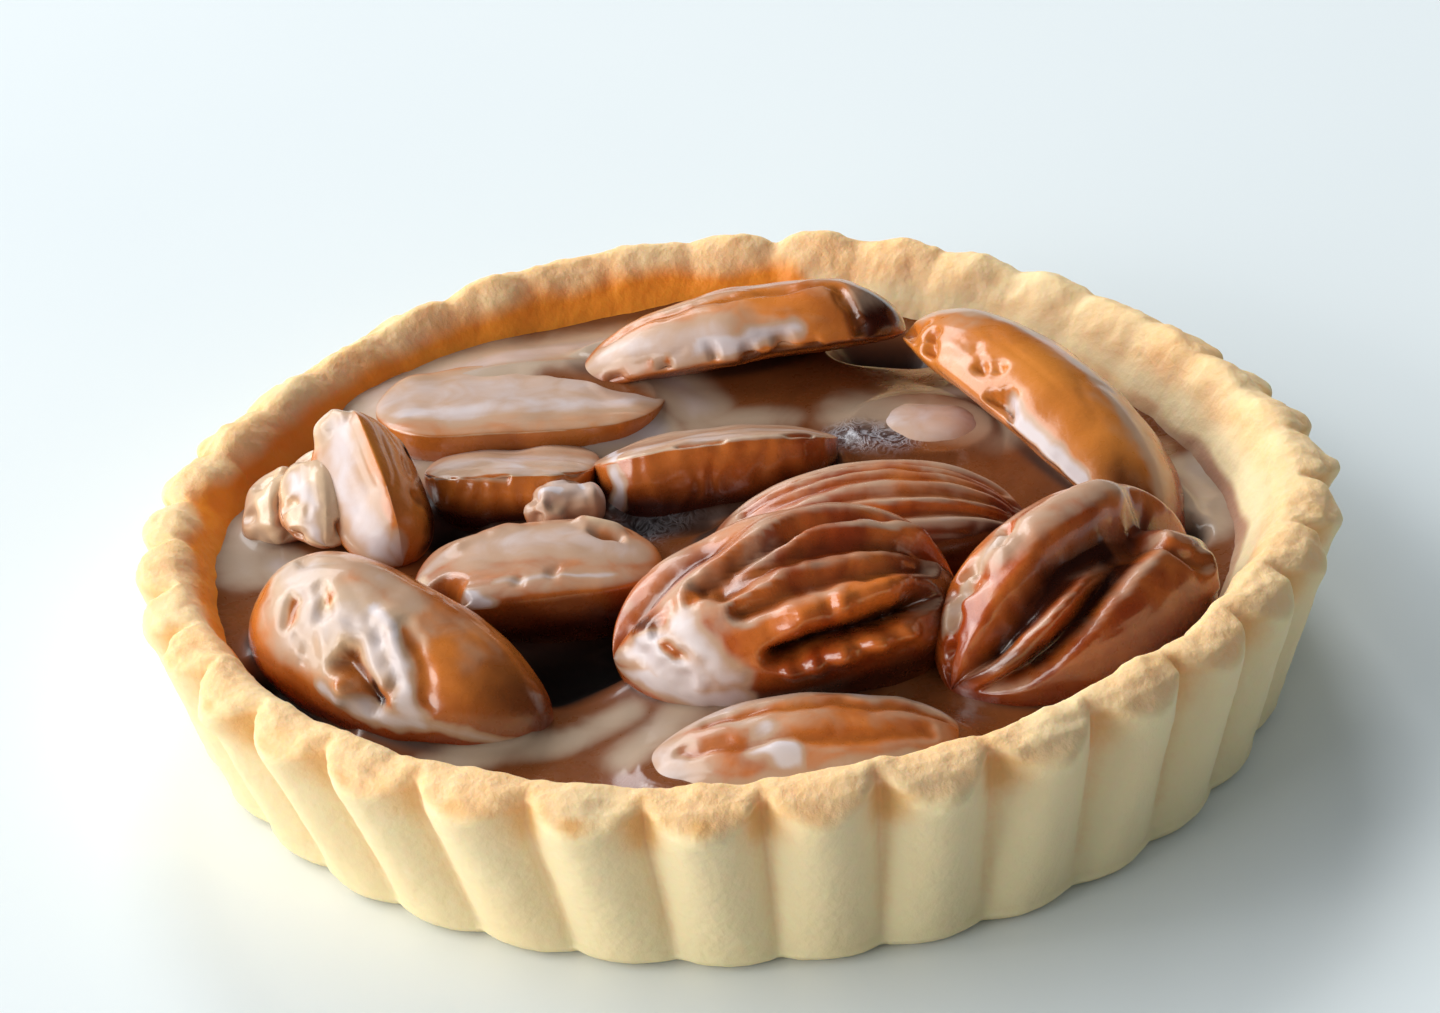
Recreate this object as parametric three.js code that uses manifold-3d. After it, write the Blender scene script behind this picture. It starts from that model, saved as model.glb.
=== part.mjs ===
// A fluted shortcrust tartlet, filled with caramel and topped with pecan halves.
// Millimetres, +Z up. The origin is under the middle of its box, on the surface it stands on.
// -Y is the front, and the crest of the rim is highest between the front and the right (+X).
import * as THREE from 'three';
import { mergeVertices } from 'three/addons/utils/BufferGeometryUtils.js';
import Module from 'manifold-3d';

// ---- driving dimensions -------------------------------------------------------------------
const RIM_RADIUS = 50; // crests of the flutes at the widest place, just under the rim
const BASE_RADIUS = 46.2; // crests of the flutes where the wall meets the base
const WIDEST_HEIGHT = 13.5; // the wall leans outwards evenly up to here
const RIM_HEIGHT = 14.3; // mean height of the rim's crest
const FRONT_RISE = 1.6; // the crest is this much higher at the front, and lower at the back
const FRONT_LIFT = 1.7; // and it swells up this much more across the front
const RIGHT_RISE = 1.1; // and this much higher at the right, and lower at the left
const BACK_DROP = 1.2; // the crest dips between the back and the right
const RIGHT_SWELL = 1.3; // the rim is out of round by this much at the right
const FOOT_SWELL = 1.7; // and so is the foot, at the front right
const BACK_WEAR = 2.8; // the outer edge of the rim lies further in round the back
const BACK_FILLET = 2.6; // and the inside wall leans further in there
const BACK_SAG = 2; // the caramel is lower along the back
const EDGE_INSET = 0.9; // the rim's outer edge lies inside the widest place
const RIM_DROP = 0.8; // from the crest to the rim's outer edge
const RIM_WIDTH = 4.1;
const BACK_THIN = 1.1; // the rim is narrower by this much round the back
const CREST_SHARES = [0.3, 0.8]; // of the rim's width, from its outer edge: its crest lies between
const FLUTES = 36;
const FLUTE_DEPTH = 2.9; // from a flute's crest to the crease between two, at the widest place
const BASE_FLUTE_DEPTH = 1;
const FIRST_CREASE = THREE.MathUtils.degToRad(-128); // angle of one crease, from +X
const LEFT_TWIST = THREE.MathUtils.degToRad(5.6); // turn of the flutes on their way up
const RIGHT_TWIST = THREE.MathUtils.degToRad(3.4); // at the front left and at the front right
const BEVEL_SLOPE = 1; // the bevel under the rim leans out this much for each millimetre down
const BACK_BEVEL = 0.2; // and this much more round the back
const FOOT_ROUND = 1.2; // the base's edge is rounded where it leaves the surface
const BASE_THICKNESS = 3.6;
const INNER_RADIUS = 42.5; // of the shell's inside at the caramel's level
const INNER_LEAN = 0.5; // how far the inside opens for each millimetre up
const WALL_FOOT = 6; // the straight inside wall starts at this height
const WELL_STEP = 1; // and the floor's edge lies this far inside it
const CARAMEL_LEVEL = 10;
const CARAMEL_WAVE = 0.35;
const GAP = 0.3; // kept between neighbours
const CENTRING = [-0.77, 0.73, 0]; // the shell is out of round: this centres its box on the origin

// Directions on the plan, and how far to each side of them an effect fades, in degrees from +X.
const FRONT = [-90, 78];
const BACK_RIGHT = [38, 30];
const BACK = [75, 75];
const RIGHT = [-15, 28];
const FRONT_RIGHT = [-50, 42];
const LEFT_FAN = [-138, 36];
const RIGHT_FAN = [-45, 24];

const SAMPLES_PER_FLUTE = 4;
const CARAMEL_SPOKES = 54;
const CARAMEL_SHARES = [1, 0.9, 0.75, 0.5, 0.25, 0]; // of the radius, for each ring of its top
const PECAN_FACETS = [20, 8]; // round the kernel and along it
const CRUMB_FACETS = [12, 6]; // of the broken bits
const CRUMB_WIDTH = 8; // a piece narrower than this is a broken bit
const CUTTER_FACETS = [10, 6]; // of the plain shape that cuts a kernel's place in its neighbours
const CUTTER_EXTRA = 0.6; // makes up for the flat facets of that plain shape

// Each pecan lies from one end to the other. width is across the kernel, dome is the height of
// its back over the cut face, belly is the depth of that face, and roll turns it about its
// length: 0 lies back up, 180 lies cut face up. arch bows the kernel along its length, ends
// gives how blunt the two ends are, and furrows are grooves along the back: angle round the
// kernel from its right edge and depth as a share of the radius. squareness below 1 makes the
// section fuller than an ellipse, and above 1 gives it a ridge.
const PECANS = {
  back: { from: [-12.5, 26.5, 9.5], to: [17, 25, 14], width: 12.5, dome: 5.5, belly: 1.2,
    roll: -30, arch: 0.8, ends: [2, 3.5] },
  right: { from: [18.3, 25.2, 13], to: [36.8, -6, 9], width: 14, dome: 6.5, belly: 1.5,
    roll: -42, arch: 1.5, ends: [3, 2.5] },
  coated: { from: [-30, 21.5, 11.6], to: [-4.5, 21.5, 10.9], width: 15, dome: 5, belly: 0.8,
    roll: 172, arch: -0.3, ends: [4, 3] },
  edge_left: { from: [-25.5, 10.5, 12], to: [-10.5, 9.5, 12], width: 14.5, dome: 6, belly: 0.8,
    roll: 158, arch: -0.5, ends: [3, 4] },
  edge_right: { from: [-11, 8, 13.2], to: [10, 9.5, 13.2], width: 13, dome: 7.5, belly: 0.8,
    roll: 152, arch: -1, ends: [4, 2.5] },
  wedge: { from: [-27.5, -2, 10.5], to: [-31.8, 10.8, 16.6], width: 8.8, dome: 5.5, belly: 2,
    roll: 0, arch: 0, ends: [3, 4.6], squareness: 1.7 },
  bit_left: { from: [-38.2, 2.6, 10.5], to: [-37.2, 10.5, 12.6], width: 6.9, dome: 2.6, belly: 2,
    roll: -15, arch: 0, ends: [2.6, 2.6], squareness: 1.3 },
  bit_right: { from: [-33.8, -0.5, 12], to: [-34.8, 10.5, 14], width: 7.5, dome: 3, belly: 2,
    roll: 10, arch: 0, ends: [2.6, 2.6], squareness: 1.4 },
  front_left: { from: [-38.5, -8.5, 12.5], to: [-16, -27, 9.5], width: 14, dome: 7, belly: 3,
    roll: 45, arch: 1.5, ends: [3.5, 2], furrows: [[108, 0.12]] },
  middle: { from: [-26.3, -8, 12.7], to: [-5.6, -8, 13.2], width: 12.5, dome: 6.5, belly: 1.5,
    roll: 176, arch: -1, ends: [3.6, 3] },
  main: { from: [-10, -19.5, 12], to: [18.3, -16.5, 14], width: 17, dome: 7, belly: 5,
    roll: 22, arch: 1.5, ends: [2.2, 3.5], furrows: [[54, 0.12], [90, 0.12], [126, 0.25]] },
  behind: { from: [-2.5, -3.5, 9.5], to: [25.5, -4.5, 11], width: 13, dome: 5.6, belly: 2,
    roll: 8, arch: 2, ends: [2.2, 3], furrows: [[54, 0.06], [90, 0.06], [126, 0.06]] },
  grooved: { from: [17, -26, 11], to: [38, -11.8, 13.2], width: 17.5, dome: 8.3, belly: 3,
    roll: 20, arch: 1.5, ends: [2.2, 3], furrows: [[90, 0.22], [126, 0.18]] },
  sunk: { from: [-8.5, -33.5, 9.2], to: [18.5, -33.3, 9.5], width: 12, dome: 4.4, belly: 2,
    roll: 10, arch: 1.2, ends: [2.2, 2.2] },
  lump: { from: [11, 14.5, 8.1], to: [24, 12, 8.1], width: 11, dome: 3.6, belly: 2,
    roll: 0, arch: 0, ends: [2.2, 2.2] },
  knob: { from: [-17, 0.5, 13.2], to: [-10.2, 2.6, 12.6], width: 5.4, dome: 2.4, belly: 4.2,
    roll: 0, arch: 0, ends: [2.4, 2.4], squareness: 0.9 },
};
const FURROW_WIDTH = 14; // degrees round the kernel
const KERNEL_SQUARENESS = 0.85;

const wasm = await Module();
wasm.setup();

// ---- helpers ------------------------------------------------------------------------------
function toSolid(geometry) {
  const bare = geometry.clone();
  bare.deleteAttribute('normal');
  bare.deleteAttribute('uv');
  const merged = mergeVertices(bare, 1e-3);
  return new wasm.Manifold(new wasm.Mesh({
    numProp: 3,
    vertProperties: new Float32Array(merged.attributes.position.array),
    triVerts: new Uint32Array(merged.index.array),
  }));
}

function toGeometry(solid) {
  const mesh = solid.getMesh();
  const geometry = new THREE.BufferGeometry();
  geometry.setAttribute('position', new THREE.BufferAttribute(mesh.vertProperties, 3));
  geometry.setIndex(new THREE.BufferAttribute(mesh.triVerts, 1));
  return geometry;
}

// Moves every vertex of a geometry to place(x, y, z), which returns three numbers.
function reshape(geometry, place) {
  const position = geometry.attributes.position;
  for (let i = 0; i < position.count; i += 1) {
    position.setXYZ(i, ...place(position.getX(i), position.getY(i), position.getZ(i)));
  }
  return geometry;
}

// A closed surface about Z. profileAt(angle) lists the radius and height of each row, and how far
// it is turned, from the middle of the underside, out and up, and back to the middle of the top.
function revolved(profileAt, segments) {
  const rows = profileAt(0).length;
  const geometry = new THREE.PlaneGeometry(1, 1, segments, rows - 1);
  const position = geometry.attributes.position;
  for (let i = 0; i < position.count; i += 1) {
    const angle = FIRST_CREASE + ((i % (segments + 1)) / segments) * 2 * Math.PI;
    const row = rows - 1 - Math.floor(i / (segments + 1));
    const [radius, height, turn = 0] = profileAt(angle)[row];
    const turned = angle + turn;
    position.setXYZ(i, radius * Math.cos(turned), radius * Math.sin(turned), height);
  }
  return geometry;
}

function named(name, geometry, color, roughness) {
  const material = new THREE.MeshStandardMaterial({ color, roughness, metalness: 0 });
  const mesh = new THREE.Mesh(geometry, material);
  mesh.name = name;
  return mesh;
}

// ---- crust --------------------------------------------------------------------------------
const bell = (distance, width) => Math.exp(-((distance / width) ** 2));

// Degrees from a direction on the plan, from -180 to 180.
function degreesFrom(angle, centre) {
  const turn = THREE.MathUtils.radToDeg(angle) - centre + 180;
  return THREE.MathUtils.euclideanModulo(turn, 360) - 180;
}

// 1 in a direction, fading to 0 on both sides of it.
const towards = (angle, [centre, width]) => bell(degreesFrom(angle, centre), width);

// 1 round the back of the rim, easing to 0 at its left and right.
const behind = (angle) => 1 - THREE.MathUtils.smoothstep(Math.abs(degreesFrom(angle, 85)), 60, 96);

function crestHeight(angle) {
  const lift = FRONT_LIFT * towards(angle, FRONT);
  const dip = BACK_DROP * towards(angle, BACK_RIGHT);
  const slant = RIGHT_RISE * Math.cos(angle) - FRONT_RISE * Math.sin(angle);
  return RIM_HEIGHT + slant + lift - dip;
}

// The outer wall leans out evenly. Each flute is a rounded lobe with a sharp crease to the next,
// and the creases get deeper with height.
function wallRadius(angle, height) {
  const share = height / WIDEST_HEIGHT;
  const phase = ((angle - FIRST_CREASE) * FLUTES) / 2;
  const lobe = Math.abs(Math.sin(phase)) ** 0.85;
  const depth = BASE_FLUTE_DEPTH + (FLUTE_DEPTH - BASE_FLUTE_DEPTH) * share;
  const foot = BASE_RADIUS + FOOT_SWELL * towards(angle, FRONT_RIGHT);
  const widest = RIM_RADIUS + RIGHT_SWELL * towards(angle, RIGHT);
  return foot + (widest - foot) * share - depth * (1 - lobe);
}

// The flutes turn on their way up, so that they fan out towards both sides of the front.
function twist(angle, height) {
  const left = LEFT_TWIST * towards(angle, LEFT_FAN);
  const right = RIGHT_TWIST * towards(angle, RIGHT_FAN);
  return (right - left) * Math.min(1, height / WIDEST_HEIGHT);
}

function rimEdge(angle) {
  const swell = RIGHT_SWELL * towards(angle, RIGHT);
  return RIM_RADIUS - EDGE_INSET + swell - BACK_WEAR * behind(angle);
}

// The inside wall is straight from its foot to the rim's inner edge.
function insideWall(angle, height) {
  const fillet = BACK_FILLET * towards(angle, BACK);
  const foot = INNER_RADIUS + (WALL_FOOT - CARAMEL_LEVEL) * INNER_LEAN - fillet;
  const top = rimEdge(angle) - RIM_WIDTH + BACK_THIN * behind(angle);
  const share = (height - WALL_FOOT) / (crestHeight(angle) - RIM_DROP - WALL_FOOT);
  return foot + (top - foot) * share;
}

// The bevel cuts the flutes off under the rim's outer edge. cut is the height where the leaning
// wall meets it, or just under the edge in the creases, which don't reach it.
function crustProfile(angle) {
  const crest = crestHeight(angle);
  const edge = crest - RIM_DROP;
  const slope = BEVEL_SLOPE + BACK_BEVEL * behind(angle);
  const foot = wallRadius(angle, 0);
  const lean = wallRadius(angle, 1) - foot;
  const meeting = (rimEdge(angle) + edge * slope - foot) / (lean + slope);
  const cut = Math.min(meeting, edge - GAP);
  const outer = Math.min(rimEdge(angle), wallRadius(angle, edge));
  const inner = insideWall(angle, edge);
  const well = insideWall(angle, WALL_FOOT);
  const rows = [
    [0, 0],
    [foot - FOOT_ROUND, 0],
    [wallRadius(angle, FOOT_ROUND), FOOT_ROUND],
    [wallRadius(angle, cut), cut],
    [outer, edge],
    ...CREST_SHARES.map((share) => [outer + (inner - outer) * share, crest]),
    [insideWall(angle, edge - RIM_DROP), edge - RIM_DROP],
    [well, WALL_FOOT],
    [well - WELL_STEP, BASE_THICKNESS],
    [0, BASE_THICKNESS],
  ];
  return rows.map(([radius, height]) => [radius, height, twist(angle, height)]);
}

// ---- pecans -------------------------------------------------------------------------------
// A kernel is a sphere reshaped: its poles become the two ends. The half-width, dome and belly
// all follow (1 - |t|^ends)^0.5 along the length, t running from -1 to 1.
function pecan(spec, grow, facets, furrows) {
  const from = new THREE.Vector3(...spec.from);
  const to = new THREE.Vector3(...spec.to);
  const along = to.clone().sub(from);
  const halfLength = along.length() / 2 + grow;
  along.normalize();
  const across = new THREE.Vector3(0, 0, 1).cross(along).normalize();
  across.applyAxisAngle(along, THREE.MathUtils.degToRad(spec.roll));
  const up = along.clone().cross(across);
  const middle = from.add(to).multiplyScalar(0.5);
  const squareness = spec.squareness ?? KERNEL_SQUARENESS;
  const geometry = new THREE.SphereGeometry(1, ...facets);
  return reshape(geometry, (x, y, z) => {
    const t = y;
    const round = Math.atan2(-z, x);
    const bluntness = t < 0 ? spec.ends[0] : spec.ends[1];
    const swell = Math.sqrt(Math.max(0, 1 - Math.abs(t) ** bluntness));
    const cos = Math.cos(round);
    const sin = Math.sin(round);
    const depth = sin > 0 ? spec.dome + grow : spec.belly + grow;
    const power = sin > 0 ? squareness : 0.6;
    let share = 1;
    furrows.forEach(([angle, amount]) => {
      share -= amount * bell(degreesFrom(round, angle), FURROW_WIDTH) * (1 - t ** 4);
    });
    const side = (spec.width / 2 + grow) * swell * share;
    const sideways = side * Math.sign(cos) * Math.abs(cos) ** squareness;
    const upwards = depth * swell * share * Math.sign(sin) * Math.abs(sin) ** power;
    const bow = spec.arch * (0.5 - t * t);
    const place = middle.clone().addScaledVector(along, t * halfLength);
    place.addScaledVector(across, sideways).addScaledVector(up, upwards + bow);
    return place.toArray();
  });
}

// The room inside the shell, from its floor to above the highest pecan.
function roomProfile(angle) {
  const roof = 40;
  const edge = crestHeight(angle) - RIM_DROP;
  const well = insideWall(angle, WALL_FOOT) - GAP;
  const mouth = insideWall(angle, edge) - GAP;
  const floor = BASE_THICKNESS + GAP;
  const bottom = [[0, floor], [well - WELL_STEP, floor], [well, WALL_FOOT]];
  return [...bottom, [mouth, edge], [mouth, roof], [0, roof]];
}

// ---- caramel ------------------------------------------------------------------------------
// The top is wavy, and lower along the back. share is the share of the way out to the crust.
function caramelHeight(angle, share) {
  const x = INNER_RADIUS * share * Math.cos(angle);
  const y = INNER_RADIUS * share * Math.sin(angle);
  const waves = CARAMEL_WAVE * (Math.sin(x / 9 + 1) + Math.cos(y / 8 - x / 20));
  const sag = BACK_SAG * behind(angle) * THREE.MathUtils.smoothstep(share, 0.62, 0.98);
  return CARAMEL_LEVEL + waves - sag;
}

function caramelProfile(angle) {
  const floor = BASE_THICKNESS + GAP;
  const well = insideWall(angle, WALL_FOOT) - GAP;
  const edge = insideWall(angle, caramelHeight(angle, 1)) - GAP;
  const top = CARAMEL_SHARES.map((share) => [edge * share, caramelHeight(angle, share)]);
  return [[0, floor], [well - WELL_STEP, floor], [well, WALL_FOOT], ...top];
}

// ---- assembly -----------------------------------------------------------------------------
const tartlet = new THREE.Group();
tartlet.position.fromArray(CENTRING);
const rimSamples = FLUTES * SAMPLES_PER_FLUTE;
const shell = toSolid(revolved(crustProfile, rimSamples));
tartlet.add(named('crust', toGeometry(shell), '#e5c78f', 0.85));

const room = toSolid(revolved(roomProfile, rimSamples));
let filling = toSolid(revolved(caramelProfile, CARAMEL_SPOKES));
let placed = null;
Object.entries(PECANS).forEach(([name, spec]) => {
  const facets = spec.width < CRUMB_WIDTH ? CRUMB_FACETS : PECAN_FACETS;
  let kernel = toSolid(pecan(spec, 0, facets, spec.furrows ?? [])).intersect(room);
  if (placed) kernel = kernel.subtract(placed);
  const cutter = toSolid(pecan(spec, GAP + CUTTER_EXTRA, CUTTER_FACETS, []));
  placed = placed ? placed.add(cutter) : cutter;
  filling = filling.subtract(cutter);
  tartlet.add(named(`pecan_${name}`, toGeometry(kernel), '#8f4a21', 0.35));
});
tartlet.add(named('caramel', toGeometry(filling), '#6b3a1c', 0.2));

export default tartlet;
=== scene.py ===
"""A fluted shortcrust tartlet filled with caramel, with pecan halves half sunk in it.

Every surface is a function of two parameters on a grid, worked out in millimetres as whole
numpy arrays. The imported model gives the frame: +Z up, -Y the front, base at height zero.
"""
import math

import bpy
import numpy as np
from mathutils import Matrix, Vector


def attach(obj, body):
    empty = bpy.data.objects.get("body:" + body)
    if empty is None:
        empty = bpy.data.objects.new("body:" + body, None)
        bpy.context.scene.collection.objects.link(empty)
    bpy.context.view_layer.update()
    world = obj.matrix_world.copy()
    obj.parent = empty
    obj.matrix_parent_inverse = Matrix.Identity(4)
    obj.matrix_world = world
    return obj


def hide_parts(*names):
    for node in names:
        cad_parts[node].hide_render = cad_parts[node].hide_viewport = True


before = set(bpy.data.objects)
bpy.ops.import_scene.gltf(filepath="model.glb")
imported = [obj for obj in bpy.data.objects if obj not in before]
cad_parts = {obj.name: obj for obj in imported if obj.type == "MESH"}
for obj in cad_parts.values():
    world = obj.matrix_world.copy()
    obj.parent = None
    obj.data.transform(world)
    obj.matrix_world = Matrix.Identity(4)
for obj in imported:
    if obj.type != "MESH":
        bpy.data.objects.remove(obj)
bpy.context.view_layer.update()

MM = 0.001  # metres in a millimetre
BODY = "root"

# ---- driving dimensions, in millimetres ----
RIM_RADIUS = 50  # crests of the flutes at the widest place
BASE_RADIUS = 46.2  # crests of the flutes at the base
WIDEST_HEIGHT = 13.5
RIM_HEIGHT = 14.3
FRONT_RISE = 1.6  # the rim is this much higher at the front
FRONT_LIFT = 1.7  # and the crest swells up there
RIGHT_RISE = 1.1  # and this much higher at the right
BACK_DROP = 1.2  # the crest dips between the back and the right
RIGHT_SWELL = 1.3  # the rim is out of round here
FOOT_SWELL = 1.7  # and so is the foot
BACK_WEAR = 2.8  # the rim's outer edge lies further in round the back
BACK_THIN = 1.1  # the rim is this much narrower there
BACK_FILLET = 2.6  # the inside leans further in round the back
BACK_SAG = 2.0  # the caramel is lower along the back
RIM_DROP = 0.8  # from the crest to the rim's outer edge
RIM_WIDTH = 4.1
RIM_BLEND = 1.8  # of the rim into the inside wall
RIM_OVERRUN = 1.6  # the rim's rows run this far past its inner edge
EDGE_INSET = 0.9  # of the rim's outer edge
CREST_SHARE = 0.3  # the crest is this far across the rim
SCALLOP_HEIGHT = 0.7  # of the rim over each flute round the back
CRUMB_HEIGHT = 0.24
KNOB_HEIGHT = 0.6  # of the knobs under the rim
FLUTES = 36
FLUTE_DEPTH = 2.9  # at the widest place
BASE_FLUTE_DEPTH = 1.0
BACK_FADE = 0.35  # share of it lost under the rim round the back
FIRST_CREASE = math.radians(-128)
LEFT_TWIST = 5.6  # degrees that flutes turn by on their way up, at the left
RIGHT_TWIST = 3.4  # and the other way at the right
BEVEL_SLOPE = 1.0  # the rim's outer edge leans out this much per millimetre
BACK_BEVEL = 0.2  # and this much more round the back
BEVEL_BLEND = 0.4
FOOT_ROUND = 1.2
FOOT_LEAN = 0.35
BASE_THICKNESS = 3.6
INNER_RADIUS = 42.5  # of the shell's inside at the caramel's level
INNER_LEAN = 0.5
WALL_FOOT = 6  # height where the straight inside wall starts
WELL_STEP = 1  # the floor of the shell starts this far in
CARAMEL_LEVEL = 10
CARAMEL_WAVE = 0.35
CARAMEL_SWIRL = 0.18
CARAMEL_SIDE = 6.5  # height of the foot of the caramel's side
OVERLAP = 0.35  # of the caramel's edge with the crust
GAP = 0.3  # between them underneath
EDGE_CLIMB = 0.5  # how far caramel climbs the crust
CLIMB_REACH = 1.3  # it climbs kernels by 1 within about this distance
BIT_WIDTH = 7  # narrower kernels have BIT_GRID
WRINKLE_DEPTH = 0.07
# Painted shade darkens kernels this near the caramel.
LOW_SHADE_HEIGHT = 4.5  # kernels are darker this near the caramel
PASTRY_GRAIN = 0.7
CENTRING = (-0.77, 0.73, 0)  # centres the box of the shell, which is out of round

# Directions on the plan: the middle and the width of each, in degrees.
FRONT = (-90, 78)
FRONT_LEFT = (-115, 34)
FRONT_RIGHT = (-50, 42)
RIGHT = (-15, 28)
FAR_RIGHT = (0, 26)
BACK_RIGHT = (38, 30)
BACK = (75, 75)
LEFT_FAN = (-138, 36)
RIGHT_FAN = (-45, 24)
BACK_MIDDLE = 85

# Grids.
CRUST_COLUMNS = FLUTES * 22
FOOT_ROWS = 7
WALL_ROWS = 43
RIM_ROWS = 25
INSIDE_ROWS = 17
CARAMEL_RINGS = 150
CARAMEL_SPOKES = 560
KERNEL_GRID = (150, 128)  # stations along a kernel and points round it
BIT_GRID = (90, 72)
MASK_LIMIT = 1.5  # the largest value of a mask

HASH_PRIMES = (73856093, 19349663, 83492791)
HASH_SEED = 2654435761
HASH_MIX = 0x45D9F3B

# Each kernel lies from start to end. width is across it, dome is the height of its back over the
# cut face, belly is the depth of that face, and roll turns it about its length: 0 lies back up,
# 180 cut face up. arch bows it, ends gives how blunt its ends are, squareness is the power of its
# section (1 an ellipse, 2 a diamond), uneven the height of its lumps, and warp how far its marks
# stray. film is the share of caramel film, partly painted sky reflection, on its upward faces, and
# tan the share of tan skin. lit takes off the painted shade low down by the caramel, and merged
# leaves out the painted shadow line round it in the caramel.
# Places on a kernel are (t, angle): t runs from -1 to 1 along it, and the angle goes round it in
# degrees from its right edge, over the back at 90 to its left edge at 180. Each mark is a path of
# places, a radius, and then for dents, bumps and pits (ragged flesh) a depth or height, for
# ripples a height and a spacing, and for milk (caramel film, with painted highlights and
# reflections), bare (no film), pale (broken flesh) and dark (painted shade in furrows, holes, ends
# and undersides) a strength.
ALL_OVER = [(-1, 90), (1, 90)]
PLAIN_KERNEL = dict(
    belly=2, roll=0, arch=0, squareness=0.85, uneven=0.3, warp=1, film=0.5, tan=0, lit=0, merged=False,
    dents=[], bumps=[], pits=[], ripples=[], milk_and_sheen=[], bare=[], pale=[], dark=[])
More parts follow.
